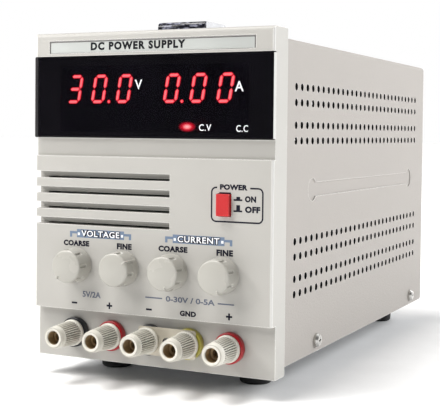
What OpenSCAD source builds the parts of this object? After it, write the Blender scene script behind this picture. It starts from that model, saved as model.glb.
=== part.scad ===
// Bench power supply: a moulded front panel, a folded steel case on four feet, and the parts inside.
// X runs across the front from its left, Y runs back from the front, and Z runs up from the bench.
// Depths in the modules are measured back from the panel's front face. from_front() moves them into
// the part's own frame, whose origin is on the bench under the middle of the whole part.

/* [Front panel] */
// Width of the front panel
panel_w = 130; // [128:1:140]
// Height of the front panel
panel_h = 161.6; // [161:0.2:166]
// Depth of the front panel, front to back
panel_depth = 16.5; // [15:0.5:20]
// Thickness of the panel's front wall
panel_wall = 3; // [2:0.5:3.5]
// Height of the recessed strip that carries the binding posts
post_strip_h = 24.9; // [23:0.1:27]
// Depth of the recessed strip
post_recess = 4.4; // [3.5:0.1:5]
// Height of the main face
face_h = 76; // [74:0.5:78]
// Height of the groove under the window
groove_h = 9; // [7:0.5:11]
// Depth of the groove under the window
groove_depth = 2.2; // [1:0.1:3]
// Depth of the ventilation slots in the front
slot_depth = 4.7; // [3.5:0.1:5]

/* [Display] */
// Height of the display window
window_h = 40.2; // [38:0.2:41]
// Thickness of the display window
window_t = 2.5; // [2:0.1:3]
// How far the window stands out of the front face
window_proud = 0.5; // [0.2:0.1:0.8]
// Height of a display digit
digit_h = 14.2; // [13:0.1:15]
// Distance from one digit to the next
digit_pitch = 14.1; // [13:0.1:15]

/* [Controls] */
// Distance from one knob to the next
knob_pitch = 26.6; // [24:0.1:28]
// Diameter of a knob at its base
knob_d = 17.4; // [16:0.2:19]
// How far a knob stands out of the front face
knob_reach = 10.6; // [10:0.2:13]
// Distance the power button moves between latched in and out
button_travel = 3; // [2:0.1:3]

/* [Binding posts] */
// Distance from one binding post to the next
post_pitch = 21.3; // [19:0.1:22]
// Radius of the 4 mm socket in a post
socket_r = 2.03; // [2:0.01:2.1]
// Depth of the 4 mm socket
socket_depth = 12; // [10:0.5:14]
// Diameter of the coloured collar
collar_d = 14.8; // [14.2:0.2:16]
// Thickness of the coloured collar
collar_t = 3.4; // [3:0.1:3.8]
// Length of a post's cap
cap_len = 17.2; // [16:0.2:19]

/* [Case] */
// Depth from the front face to the back of the cover
case_back = 257.6; // [250:0.2:262]
// Thickness of the steel sheet
sheet = 1.2; // [1:0.1:1.4]
// How far the front panel stands proud of each side of the case
side_step = 1.5; // [1:0.1:2]
// Number of ventilation holes in a row
vent_count = 29; // [20:1:29]
// Distance from one ventilation hole to the next
vent_pitch = 7.4; // [7:0.1:7.4]
// Diameter of a ventilation hole
vent_d = 3.7; // [3:0.1:4.2]
// Height of the rubber feet
foot_h = 13.5; // [12:0.5:16]

/* [Handle] */
// Width of the handle's end caps
handle_w = 26.4; // [24:0.2:32]
// Height of the handle above the cover
handle_h = 11; // [11:0.5:14]
// Depth of the handle's front end behind the front face
handle_front = 32.5; // [28:0.5:40]

/* [Hidden] */
$fn = 48;
over = 1; // how far a cutting shape runs past the surface it cuts

// levels on the front, from the bench up
panel_drop = 3.4;
panel_rise = 4;
panel_z0 = foot_h - panel_drop;
panel_z1 = panel_z0 + panel_h;
strip_z1 = panel_z0 + post_strip_h;
face_z1 = strip_z1 + face_h;
window_z0 = face_z1 + groove_h;
window_z1 = window_z0 + window_h;
case_z0 = foot_h;
case_z1 = panel_z1 - panel_rise;
floor_z = case_z0 + sheet;
half_w = panel_w / 2;
case_half = half_w - side_step;
inner_half = case_half - sheet;
tray_half = inner_half - 0.1; // the tray slides inside the cover
case_mid = (panel_depth + case_back) / 2;
shell_wall = 2.8;

// fastener radii: a screw touches a threaded hole, and passes a clear one
screw_r = 1.5;
screw_clear_r = 1.7;
head_r = 3.4;
head_t = 2.3;
running_gap = 0.05;

// front slots
slot_count = 4;
slot_pitch = 7.65;
slot_h = 3.3;
slot_right = 11.9;
slot_z0 = strip_z1 + 42;
slit_h = 0.8;

// name plate
plate_w = 112.4;
plate_h = 6.2;
plate_mid = -0.5;
plate_z = panel_z1 - 7.1;

// knobs, from the left: voltage coarse and fine, current coarse and fine
knob_z = strip_z1 + 22.3;
knob_gap = 0.4;
knob_pointer = [221, 58, 165, 160]; // clockwise from straight up
shaft_r = 3;
bushing_r = 3.5;
bushing_reach = 2.6;
pot_r = 8.25;
pot_back = panel_wall + 9.5;
function knob_x(i) = (i - 1.5) * knob_pitch;

// power button and its switch
button_w = 6.4;
button_h = 10.2;
button_gap = 0.4;
button_x = 40.6;
button_z = strip_z1 + 54.9;
button_reach = 2.3;
plunger_w = 3;
switch_front = 9.5;
switch_back = 31;

// binding posts, from the left: aux minus, aux plus, minus, ground, plus
post_count = 5;
post_z = panel_z0 + 13.2;
stud_r = 2.9;
stud_reach = 11;
stud_tail = 22;
insert_r = 4;
insert_mouth_r = 3.35;
cap_lip = 0.8;
link_t = 0.6;
seat_gap = 0.1;
collar_front = post_recess - collar_t;
function post_x(i) = (i - 2) * post_pitch;
function linked(i) = i == 2 || i == 3;
function seat_y(i) = collar_front - (linked(i) ? link_t : 0) - seat_gap;

// display
module_w = 12.6;
module_h = 19;
module_t = 8;
module_front = window_t - window_proud + 1;
board_front = module_front + module_t;
board_t = 1.6;
digit_z = window_z0 + 24;
led_z = window_z0 + 5.8;
volts_mid = -28.7;
amps_mid = 25.7;
cv_x = 20;
cc_x = 39;
digit_w = 7.8;
stroke = 1.75;
slant = 10;
volts_text = ["3", "0", "0"];
amps_text = ["0", "0", "0"];
point_after = [1, 0]; // digit that the decimal point follows, in volts and in amps

// feet
foot_x = 40;
foot_front = 39.5;
foot_back = 240;

// handle
cap_run = 25;
strap_w = 24;
strap_t = 3.5;
strap_z0 = case_z1 + handle_h - 1.2 - strap_t;
strap_split = handle_front + 43;
strap_gap = 0.5;

// rear
panel_back = case_back - sheet;
fan_size = 80;
fan_depth = 25;
fan_z = case_z0 + 101.5;
fan_hole_pitch = 71.5;
fan_bore_r = 38.5;
fan_back = panel_back - sheet;
fan_front = fan_back - fan_depth;
blade_count = 7;
inlet_x = -34;
inlet_z = case_z0 + 30;
guard_wire_r = 1;
guard_bar_t = 1.2;
ring_y = panel_back + guard_bar_t + 0.4;

// the part's ends, and the middle between them
front_reach = cap_len - seat_y(2);
rear_reach = panel_back + guard_bar_t + head_t;
mid_y = (rear_reach - front_reach) / 2;

// ---- shapes used more than once ----

module from_front() translate([0, -mid_y, 0]) children();

// a box between the ends of three ranges
module block(x, y, z)
    translate([x[0], y[0], z[0]]) cube([x[1] - x[0], y[1] - y[0], z[1] - z[0]]);

// a round bar along Y, and along X
module rod_y(y0, y1, r, x = 0, z = 0)
    translate([x, y0, z]) rotate([-90, 0, 0]) cylinder(h = y1 - y0, r = r);
module rod_x(x0, x1, r, y = 0, z = 0)
    translate([x0, y, z]) rotate([0, 90, 0]) cylinder(h = x1 - x0, r = r);

// a turned shape about an axis along Y: points are [radius, depth]
module turned_y(x, z, points)
    translate([x, 0, z]) rotate([-90, 0, 0]) rotate_extrude() polygon(points);

// a drawing of X and Z extruded along Y, and one of Y and Z extruded along X
module plate_xz(y0, y1) translate([0, y1, 0]) rotate([90, 0, 0]) linear_extrude(y1 - y0) children();
module plate_yz(x0, x1) translate([x0, 0, 0]) rotate([90, 0, 90]) linear_extrude(x1 - x0) children();

// a rectangle about its centre with round corners
module soft_rect(w, h, r) {
    square([w - 2 * r, h], center = true);
    square([w, h - 2 * r], center = true);
    for (x = [-1, 1], y = [-1, 1]) translate([x * (w / 2 - r), y * (h / 2 - r)]) circle(r);
}

// an outline from z0 to z1 whose two upper corners are round
module arch(w, z0, z1, r) {
    translate([-w / 2, z0]) square([w, z1 - z0 - r]);
    translate([-w / 2 + r, z0]) square([w - 2 * r, z1 - z0]);
    for (x = [-1, 1]) translate([x * (w / 2 - r), z1 - r]) circle(r);
}

// a pan-head screw along +Z with its head's underside at the origin and a crossed recess
module screw(length, r = screw_r, cap_r = head_r) {
    difference() {
        rotate_extrude() polygon([
            [0, length], [r, length], [r, 0], [cap_r, 0], [cap_r, -0.5 * head_t],
            [0.75 * cap_r, -head_t], [0, -head_t]
        ]);
        for (turn = [0, 90]) rotate([0, 0, turn])
            translate([0, 0, -head_t]) cube([cap_r, 0.7, 2.4], center = true);
    }
}

// ---- front ----

boss_x = half_w - 7.5;
boss_z = [strip_z1 + 10, face_z1 - 7];

module bezel_outside() {
    edge_r = 2;
    intersection() {
        plate_yz(-half_w, half_w)
            translate([panel_depth / 2, (panel_z0 + panel_z1) / 2]) soft_rect(panel_depth, panel_h, edge_r);
        translate([0, 0, panel_z0 - over]) linear_extrude(panel_h + 2 * over)
            translate([0, panel_depth / 2]) soft_rect(panel_w, panel_depth, 1.2);
    }
}

module bezel_bosses()
    for (side = [-1, 1], z = boss_z) rod_y(panel_wall, panel_depth, 3.5, side * boss_x, z);

// each pocket runs from the back of its stretch of front wall to the open back
module bezel_pockets() {
    inside = half_w - shell_wall;
    thick = slot_depth + 2.7;
    low = panel_z0 + shell_wall;
    high = panel_z1 - shell_wall;
    slots_z1 = slot_z0 + slot_count * slot_pitch;
    back = panel_depth + over;
    block([-inside, inside], [thick, back], [low, high]);
    block([-inside, inside], [panel_wall, back], [strip_z1 + 2.5, slot_z0 - 2.5]);
    block([slot_right + 2.5, inside], [panel_wall, back], [strip_z1 + 2.5, face_z1 - 2.5]);
    block([-inside, inside], [panel_wall, back], [slots_z1, face_z1 - 2.5]);
    block([-inside, inside], [window_t + 2, back], [window_z0 - 2, window_z1 + 2]);
    block([-inside, inside], [panel_wall, back], [window_z1 + 2, high]);
}

module bezel_steps() {
    x = [-half_w - over, half_w + over];
    block(x, [-over, post_recess], [panel_z0 - over, strip_z1]);
    block(x, [-over, groove_depth], [face_z1, window_z0]);
    block(x, [-over, window_t - window_proud], [window_z0, window_z1]);
    block([plate_mid - plate_w / 2, plate_mid + plate_w / 2], [-over, 0.8],
          [plate_z - plate_h / 2, plate_z + plate_h / 2]);
}

module bezel_slots()
    for (i = [0 : slot_count - 1]) {
        z0 = slot_z0 + i * slot_pitch;
        block([-half_w - over, slot_right], [-over, slot_depth], [z0, z0 + slot_h]);
        block([5 - half_w, slot_right - 1.5], [slot_depth - over, slot_depth + 2.7 + over], [z0, z0 + slit_h]);
    }

module bezel_holes() {
    for (i = [0 : 3]) rod_y(-over, pot_back, bushing_r + 0.1, knob_x(i), knob_z);
    for (i = [0 : post_count - 1]) rod_y(0, panel_depth, 4, post_x(i), post_z);
    translate([button_x, 0, button_z]) plate_xz(-over, panel_wall + over)
        soft_rect(button_w + 2 * button_gap, button_h + 2 * button_gap, 0.4);
    block([-half_w + 13, half_w - 13], [0, window_t + 2 + over], [window_z0 + 2.5, window_z1 - 4.5]);
    for (side = [-1, 1], z = boss_z) rod_y(panel_wall + 4, panel_depth + over, screw_r, side * boss_x, z);
}

module front_bezel()
    from_front() color("gainsboro") difference() {
        union() {
            difference() {
                bezel_outside();
                bezel_pockets();
            }
            bezel_bosses();
        }
        bezel_steps();
        bezel_slots();
        bezel_holes();
    }

module display_window()
    from_front() color([0.06, 0.05, 0.08])
        translate([0, 0, (window_z0 + window_z1) / 2])
            plate_xz(-window_proud, window_t - window_proud) soft_rect(panel_w, window_h, 1);

module name_plate()
    from_front() color("silver")
        translate([plate_mid, 0, plate_z]) plate_xz(0.4, 0.8) soft_rect(plate_w - 0.6, plate_h - 0.6, 0.4);

// ---- case ----

vent_rows = [145.4, 137.9, 127.1, 119.6, 71.5, 64.1, 53.5, 46.1];
vent_front = 30.5;
groove_z = case_z0 + 82;
groove_ends = [53, 224];
side_screw_y = [60.5, 231];
side_screw_z = case_z0 + 5.8;
handle_back = 2 * case_mid - handle_front;
handle_screw_y = [handle_front + 8, handle_back - 8];
handle_screw_x = 7;

module cover_groove(side) {
    face = side * case_half;
    x = [face - 0.6, face + 0.6];
    block(x, groove_ends, [groove_z - 3.5, groove_z + 3.5]);
    for (y = groove_ends) rod_x(x[0], x[1], 5.65, y, groove_z);
}

module case_cover()
    from_front() color([0.82, 0.8, 0.78]) difference() {
        intersection() {
            plate_xz(panel_depth, case_back) difference() {
                arch(2 * case_half, case_z0, case_z1, 2.4);
                arch(2 * inner_half, case_z0 - over, case_z1 - sheet, 1.2);
            }
            plate_yz(-case_half - over, case_half + over)
                translate([case_mid, (case_z0 + case_z1) / 2])
                    soft_rect(case_back - panel_depth, case_z1 - case_z0, 2.5);
        }
        for (z = vent_rows, i = [0 : vent_count - 1])
            rod_x(-case_half - over, case_half + over, vent_d / 2, vent_front + i * vent_pitch, z);
        for (side = [-1, 1]) cover_groove(side);
        for (y = side_screw_y) rod_x(-case_half - over, case_half + over, screw_clear_r, y, side_screw_z);
        for (x = [-1, 1], y = handle_screw_y)
            translate([x * handle_screw_x, y, case_z1 - 3]) cylinder(h = 6, r = 2.2);
    }

tray_flange = 13;
standoff = [[-48, 38], [48, 38], [-48, 116], [48, 116]];
standoff_top = floor_z + 9;

module base_chassis()
    from_front() color("lightsteelblue") difference() {
        union() {
            block([-tray_half, tray_half], [panel_depth, panel_back - sheet], [case_z0, floor_z]);
            for (side = [-1, 1]) mirror([side < 0 ? 1 : 0, 0, 0])
                block([tray_half - sheet, tray_half], [panel_depth, panel_back - sheet],
                      [case_z0, floor_z + tray_flange]);
            block([sheet - tray_half, tray_half - sheet], [panel_depth, panel_depth + sheet],
                  [case_z0, face_z1 + 2]);
            block([-tray_half + 2, tray_half - 2], [panel_back - 2 * sheet, panel_back - sheet],
                  [case_z0, floor_z + tray_flange]);
            for (p = standoff) translate([p[0], p[1], floor_z - sheet / 2])
                cylinder(h = standoff_top - floor_z + sheet / 2, r = 3);
        }
        block([-post_pitch * 2 - 8, post_pitch * 2 + 8], [panel_depth - over, panel_depth + sheet + over],
              [post_z - 7.5, post_z + 7.5]);
        block([button_x - 4.4, button_x + 4.4], [panel_depth - over, panel_depth + sheet + over],
              [button_z - 6.4, button_z + 6.4]);
        block([-45, 28], [panel_depth - over, panel_depth + sheet + over], [knob_z + 12, face_z1 - 12]);
        for (side = [-1, 1], z = boss_z)
            rod_y(panel_depth - over, panel_depth + sheet + over, screw_clear_r, side * boss_x, z);
        for (y = side_screw_y) rod_x(-case_half, case_half, screw_r, y, side_screw_z);
        for (x = [-foot_x, foot_x], y = [foot_front, foot_back])
            translate([x, y, case_z0 - over]) cylinder(h = 4, r = screw_r);
        for (x = [-1, 1]) rod_y(panel_back - 3 * sheet, panel_back, screw_r, x * rear_screw_x, rear_screw_z);
        for (p = standoff) translate([p[0], p[1], floor_z + 2]) cylinder(h = 10, r = 1.25);
    }

rear_screw_x = 55;
rear_screw_z = floor_z + 7;

module rear_panel()
    from_front() color([0.8, 0.79, 0.76]) difference() {
        block([-tray_half, tray_half], [panel_back - sheet, panel_back], [case_z0, case_z1 - sheet - 0.1]);
        rod_y(panel_back - 2 * sheet, panel_back + over, fan_bore_r, 0, fan_z);
        for (x = [-1, 1], z = [-1, 1])
            rod_y(panel_back - 2 * sheet, panel_back + over, screw_clear_r,
                  x * fan_hole_pitch / 2, fan_z + z * fan_hole_pitch / 2);
        block([inlet_x - 14, inlet_x + 14], [panel_back - 2 * sheet, panel_back + over],
              [inlet_z - 14.5, inlet_z + 16.5]);
        for (x = [-1, 1]) rod_y(panel_back - 2 * sheet, panel_back + over, screw_clear_r,
                                x * rear_screw_x, rear_screw_z);
    }

// identical pan-head screws: four in the sides, four behind the front panel and two at the back
module case_screws()
    from_front() color("silver") {
        for (side = [-1, 1], y = side_screw_y)
            translate([side * case_half, y, side_screw_z]) rotate([0, -side * 90, 0]) screw(6);
        for (side = [-1, 1], z = boss_z)
            translate([side * boss_x, panel_depth + sheet, z]) rotate([90, 0, 0]) screw(6);
        for (side = [-1, 1])
            translate([side * rear_screw_x, panel_back, rear_screw_z]) rotate([90, 0, 0]) screw(6);
    }

foot_well = 8;

module rubber_feet()
    from_front() color([0.1, 0.1, 0.1])
        for (x = [-foot_x, foot_x], y = [foot_front, foot_back])
            translate([x, y, 0]) rotate_extrude() polygon([
                [4, 0], [7.2, 0], [8, 0.8], [9, foot_h], [screw_clear_r, foot_h],
                [screw_clear_r, foot_well], [4, foot_well]
            ]);

module foot_screws()
    from_front() color("silver")
        for (x = [-foot_x, foot_x], y = [foot_front, foot_back])
            translate([x, y, foot_well]) screw(foot_h - foot_well + 3.5);

// ---- handle ----

module strap(y0, y1) block([-strap_w / 2, strap_w / 2], [y0, y1], [strap_z0, strap_z0 + strap_t]);

module handle_strap()
    from_front() color([0.9, 0.9, 0.88]) strap(strap_split, 2 * case_mid - strap_split);

module strap_ends()
    from_front() color([0.9, 0.9, 0.88]) {
        strap(handle_front + 4, strap_split - strap_gap);
        strap(2 * case_mid - strap_split + strap_gap, handle_back - 4);
    }

// the end at the front, whose mouth faces back
module handle_end() {
    top = case_z1 + handle_h;
    difference() {
        plate_yz(-handle_w / 2, handle_w / 2)
            translate([handle_front + cap_run / 2, 0]) arch(cap_run, case_z1, top, 2.5);
        block([-strap_w / 2 - 0.2, strap_w / 2 + 0.2], [handle_front + 3.5, handle_front + cap_run + over],
              [strap_z0 - 0.3, top - 1]);
        for (x = [-1, 1])
            translate([x * handle_screw_x, handle_screw_y[0], case_z1 - over]) cylinder(h = 5.5, r = 2);
    }
}

module handle_ends()
    from_front() color([0.15, 0.15, 0.17]) {
        handle_end();
        translate([0, 2 * case_mid, 0]) mirror([0, 1, 0]) handle_end();
    }

module handle_screws()
    from_front() color("silver")
        for (x = [-1, 1], y = handle_screw_y)
            translate([x * handle_screw_x, y, case_z1 - sheet]) screw(5, r = 2);

// ---- knobs and potentiometers ----

// a knob about the Y axis with its pointer straight up
module knob() {
    base_r = knob_d / 2;
    face_r = base_r - 0.55;
    skirt = 3;
    difference() {
        turned_y(0, 0, [
            [0, -knob_reach], [0.55 * face_r, -knob_reach + 0.1], [face_r - 1.2, -knob_reach + 0.4],
            [face_r - 0.4, -knob_reach + 0.8], [face_r, -knob_reach + 1.6], [base_r, -knob_gap],
            [0, -knob_gap]
        ]);
        rod_y(-skirt - knob_gap, 0, base_r - 1.6);
        rod_y(-knob_reach + 1.6, 0, shaft_r);
        for (turn = [45 : 45 : 315]) rotate([0, turn, 0])
            translate([0, -knob_reach - over, face_r + 0.35]) rotate([-90, 0, 0]) cylinder(h = 5.5, r = 0.75);
    }
    block([-0.6, 0.6], [-knob_reach + 1.2, -knob_gap], [base_r - 0.9, base_r + 0.25]);
}

module knob_at(i)
    from_front() color("ivory") translate([knob_x(i), 0, knob_z]) rotate([0, knob_pointer[i], 0]) knob();

module shaft_at(i)
    from_front() color("silver") rod_y(-knob_reach + 1.6, pot_back - 1.5, shaft_r, knob_x(i), knob_z);

module knob_voltage_coarse() knob_at(0);
module knob_voltage_fine() knob_at(1);
module knob_current_coarse() knob_at(2);
module knob_current_fine() knob_at(3);
module shaft_voltage_coarse() shaft_at(0);
module shaft_voltage_fine() shaft_at(1);
module shaft_current_coarse() shaft_at(2);
module shaft_current_fine() shaft_at(3);

module pot_bodies()
    from_front() color("dimgray")
        for (i = [0 : 3]) difference() {
            union() {
                rod_y(panel_wall, pot_back, pot_r, knob_x(i), knob_z);
                rod_y(-bushing_reach, panel_wall + over, bushing_r, knob_x(i), knob_z);
                for (leg = [-5, 0, 5]) block([knob_x(i) + leg - 0.6, knob_x(i) + leg + 0.6],
                    [panel_wall + 4, panel_wall + 4.8], [knob_z - pot_r - 5, knob_z - pot_r + 4]);
            }
            rod_y(-bushing_reach - over, pot_back - 1.2, shaft_r + running_gap, knob_x(i), knob_z);
        }

module pot_nuts()
    from_front() color("silver")
        for (i = [0 : 3]) difference() {
            translate([knob_x(i), -2, knob_z]) rotate([-90, 0, 0]) cylinder(h = 2, r = 5.77, $fn = 6);
            rod_y(-3, over, bushing_r, knob_x(i), knob_z);
        }

// ---- power switch ----

button_back = panel_wall + button_travel + 2;

module power_button()
    from_front() color("red") difference() {
        union() {
            translate([button_x, 0, button_z]) plate_xz(-button_reach, button_back)
                soft_rect(button_w, button_h, 0.5);
            translate([button_x, 0, button_z]) plate_xz(button_back - 1.6, button_back)
                square([button_w + 2.4, button_h + 2.4], center = true);
        }
        translate([button_x, 0, button_z]) plate_xz(2, button_back + over)
            square(plunger_w, center = true);
    }

module switch_plunger()
    from_front() color("whitesmoke") translate([button_x, 0, button_z])
        plate_xz(2, 20) square(plunger_w, center = true);

module switch_body()
    from_front() color([0.2, 0.2, 0.22]) translate([button_x, 0, button_z]) difference() {
        union() {
            plate_xz(switch_front, switch_back) square([8, 12], center = true);
            plate_xz(panel_depth - 1.2, panel_depth) square([20, 8], center = true);
            for (x = [-2.5, 2.5], z = [-3.5, 0, 3.5])
                block([x - 0.4, x + 0.4], [switch_back - over, switch_back + 4], [z - 1, z + 1]);
        }
        plate_xz(switch_front - over, 24) square(plunger_w + 0.16, center = true);
    }

// ---- display ----

module display_board()
    from_front() color("darkgreen")
        block([-half_w + 5, half_w - 5], [board_front, board_front + board_t], [window_z0 + 1, window_z1 + 0.5]);

function digit_x(mid, i) = mid + (i - 1) * digit_pitch;

module digit_modules()
    from_front() color([0.12, 0.12, 0.13])
        for (mid = [volts_mid, amps_mid], i = [0 : 2])
            block([digit_x(mid, i) - module_w / 2, digit_x(mid, i) + module_w / 2],
                  [module_front, board_front], [digit_z - module_h / 2, digit_z + module_h / 2]);

// the seven bars of a digit, each [middle across, middle up, lies flat]
bar_x = (digit_w - stroke) / 2;
bar_z = (digit_h - stroke) / 2;
bars = [
    [0, bar_z, true], [bar_x, bar_z / 2, false], [bar_x, -bar_z / 2, false], [0, -bar_z, true],
    [-bar_x, -bar_z / 2, false], [-bar_x, bar_z / 2, false], [0, 0, true]
];
function lit_bars(text) = text == "3" ? [0, 1, 2, 3, 6] : [0, 1, 2, 3, 4, 5];
function leaned(p) = [p[0] + p[1] * tan(slant), p[1]];

// one bar as a long hexagon, leaned with the digit
module bar(place) {
    long = (place[2] ? bar_x : bar_z / 2) - 0.25;
    short = long - stroke / 2;
    half = stroke / 2;
    flat = [[-long, 0], [-short, half], [short, half], [long, 0], [short, -half], [-short, -half]];
    polygon([for (p = flat) leaned([place[0], place[1]] + (place[2] ? p : [p[1], p[0]]))]);
}

module lit_segments()
    from_front() color("red") {
        for (group = [[volts_mid, volts_text, point_after[0]], [amps_mid, amps_text, point_after[1]]]) {
            for (i = [0 : 2], b = lit_bars(group[1][i]))
                translate([digit_x(group[0], i) - 0.5, 0, digit_z])
                    plate_xz(module_front - 0.25, module_front) bar(bars[b]);
            rod_y(module_front - 0.25, module_front, 0.85,
                  digit_x(group[0], group[2]) + 4.9, digit_z - digit_h / 2 + 0.9);
        }
    }

module led(x) {
    block([x - 2.5, x + 2.5], [module_front + 1, board_front], [led_z - 1, led_z + 1]);
    block([x - 3, x + 3], [board_front - 1.5, board_front], [led_z - 1.5, led_z + 1.5]);
}

module cv_led() from_front() color("red") led(cv_x);
module cc_led() from_front() color("darkred") led(cc_x);

// ---- binding posts ----

module post_studs()
    from_front() color("goldenrod")
        for (i = [0 : post_count - 1]) difference() {
            union() {
                rod_y(-stud_reach, stud_tail, stud_r, post_x(i), post_z);
                rod_y(stud_tail - over, stud_tail + 5, 1.2, post_x(i), post_z);
            }
            rod_y(-stud_reach - over, socket_depth - stud_reach, socket_r, post_x(i), post_z);
        }

// a coloured collar with the sleeve that insulates the stud from the panel
module collar(i)
    difference() {
        union() {
            rod_y(collar_front, post_recess, collar_d / 2, post_x(i), post_z);
            rod_y(collar_front, post_recess + panel_wall - 0.2, 4, post_x(i), post_z);
        }
        rod_y(-over, panel_depth, stud_r, post_x(i), post_z);
    }

module collars_black() from_front() color([0.1, 0.1, 0.1]) for (i = [0, 2]) collar(i);
module collars_red() from_front() color([0.7, 0.12, 0.14]) for (i = [1, 4]) collar(i);
module collar_yellow() from_front() color([0.75, 0.72, 0.3]) collar(3);

module post_nuts()
    from_front() color("silver") {
        nut_y = slot_depth + 2.7;
        for (i = [0 : post_count - 1]) difference() {
            union() {
                rod_y(nut_y, nut_y + 0.8, 5.5, post_x(i), post_z);
                translate([post_x(i), nut_y + 0.8, post_z]) rotate([-90, 0, 0])
                    cylinder(h = 2.6, r = 4.6, $fn = 6);
            }
            rod_y(0, panel_depth, stud_r, post_x(i), post_z);
        }
    }

// a flat bright link that joins the minus post to the ground post
module ground_link()
    from_front() color("silver") difference() {
        middle = (post_x(2) + post_x(3)) / 2;
        translate([middle, 0, post_z]) plate_xz(collar_front - link_t, collar_front)
            soft_rect(post_pitch + 9.6, 13.6, 1.2);
        for (i = [2, 3]) rod_y(-over - link_t, collar_front + over, stud_r + 0.3, post_x(i), post_z);
        rod_y(-over - link_t, collar_front + over, 2.3, middle, post_z);
    }

// the threaded brass lining of a cap, which screws along the stud
module insert_at(i)
    from_front() color("darkgoldenrod") {
        back = seat_y(i);
        front = back - cap_len + cap_lip + 0.05;
        thread_r = stud_r + running_gap;
        turned_y(post_x(i), post_z, [
            [thread_r, back], [insert_r, back], [insert_r, front], [insert_mouth_r, front],
            [insert_mouth_r, 0.6 - stud_reach], [thread_r, 0.6 - stud_reach]
        ]);
    }

module cap_at(i)
    from_front() color("ivory") {
        back = seat_y(i);
        front = back - cap_len;
        hole_r = insert_r + running_gap;
        turned_y(post_x(i), post_z, [
            [hole_r, back], [6.2, back], [6.5, back - 0.3], [6.5, back - 1.4], [6.05, back - 1.9],
            [5.25, front + 1.4], [5.05, front + 0.5], [4.6, front], [insert_mouth_r, front],
            [insert_mouth_r, front + cap_lip], [hole_r, front + cap_lip]
        ]);
    }

module insert_1() insert_at(0);
module insert_2() insert_at(1);
module insert_3() insert_at(2);
module insert_4() insert_at(3);
module insert_5() insert_at(4);
module cap_1() cap_at(0);
module cap_2() cap_at(1);
module cap_3() cap_at(2);
module cap_4() cap_at(3);
module cap_5() cap_at(4);

// ---- inside ----

core_w = 96;
core_h = 80;
core_d = 50;
leg = core_w / 6;
core_y = 168;
core_z = floor_z + core_h / 2;

module transformer_core()
    from_front() color("slategray") translate([0, core_y, core_z]) difference() {
        cube([core_w, core_d, core_h], center = true);
        for (side = [-1, 1]) translate([side * 1.5 * leg, 0, 0])
            cube([leg, core_d + 2, core_h - 2 * leg], center = true);
    }

module transformer_windings()
    from_front() color("orange") translate([0, core_y, core_z]) difference() {
        translate([0, 0, -core_h / 2 + leg]) linear_extrude(core_h - 2 * leg)
            soft_rect(4 * leg, core_d + 1.7 * leg, 6);
        cube([2 * leg, core_d, core_h], center = true);
    }

board_x = 54;

module main_board()
    from_front() color("darkgreen") difference() {
        block([-board_x, board_x], [32, 122], [standoff_top, standoff_top + board_t]);
        for (p = standoff) translate([p[0], p[1], standoff_top - over]) cylinder(h = 4, r = 1.25);
    }

module filter_capacitors()
    from_front() color("midnightblue")
        for (x = [-34, 0, 34]) translate([x, 92, standoff_top + board_t]) rotate_extrude() polygon([
            [0, 0], [14.5, 0], [14.5, 3], [13.9, 3.8], [14.5, 4.6], [14.5, 49.4], [13.9, 50], [0, 50]
        ]);

sink_x = 50;
sink_z = [floor_z + core_h + 6, floor_z + core_h + 60];
sink_y = [130, 222];

module heatsinks()
    from_front() color("silver")
        for (side = [0, 1]) mirror([side, 0, 0]) {
            block([sink_x - 5, sink_x], sink_y, sink_z);
            for (i = [0 : 7]) {
                z = sink_z[0] + i * (sink_z[1] - sink_z[0] - 1.6) / 7;
                block([sink_x - 38, sink_x - 4], sink_y, [z, z + 1.6]);
            }
            for (y = [sink_y[0] + 4, sink_y[1] - 8])
                block([sink_x - 5, sink_x], [y, y + 4], [floor_z, sink_z[0] + over]);
        }

module power_transistors()
    from_front() color([0.12, 0.12, 0.12])
        for (side = [0, 1], y = [150, 190]) mirror([side, 0, 0])
            block([sink_x, sink_x + 5], [y, y + 15.6], [sink_z[0] + 15, sink_z[0] + 35]);

// ---- rear ----

hub_r = 15;
bearing_r = 3;
pin_r = 1.5;

module fan_frame()
    from_front() color([0.15, 0.15, 0.16]) difference() {
        union() {
            difference() {
                translate([0, 0, fan_z]) plate_xz(fan_front, fan_back) soft_rect(fan_size, fan_size, 4);
                rod_y(fan_front - over, fan_back + over, fan_bore_r - 0.5, 0, fan_z);
            }
            rod_y(fan_back - 4, fan_back, hub_r, 0, fan_z);
            rod_y(fan_front + 8, fan_back, bearing_r, 0, fan_z);
            for (turn = [45 : 90 : 315]) translate([0, 0, fan_z]) rotate([0, turn, 0])
                block([-1.5, 1.5], [fan_back - 3, fan_back], [hub_r - 2, fan_bore_r + 1]);
        }
        for (x = [-1, 1], z = [-1, 1])
            rod_y(fan_front - over, fan_back + over, screw_r + 0.5,
                  x * fan_hole_pitch / 2, fan_z + z * fan_hole_pitch / 2);
        rod_y(fan_front, fan_back - 2, pin_r + running_gap, 0, fan_z);
    }

module fan_rotor()
    from_front() color([0.1, 0.1, 0.11]) {
        front = fan_front + 1.5;
        back = fan_back - 5;
        tip_r = fan_bore_r - 1.8;
        difference() {
            rod_y(front, back, hub_r, 0, fan_z);
            rod_y(front + 2, back + over, hub_r - 2, 0, fan_z);
        }
        rod_y(front + over, fan_back - 2.5, pin_r, 0, fan_z);
        intersection() {
            for (i = [0 : blade_count - 1]) translate([0, (front + back) / 2, fan_z])
                rotate([0, i * 360 / blade_count, 0]) rotate([0, 0, 38])
                    block([-11, 11], [-0.9, 0.9], [hub_r - 0.5, tip_r + 2]);
            rod_y(front, back, tip_r, 0, fan_z);
        }
    }

guard_rings = [9, 18, 27, 36];

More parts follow.
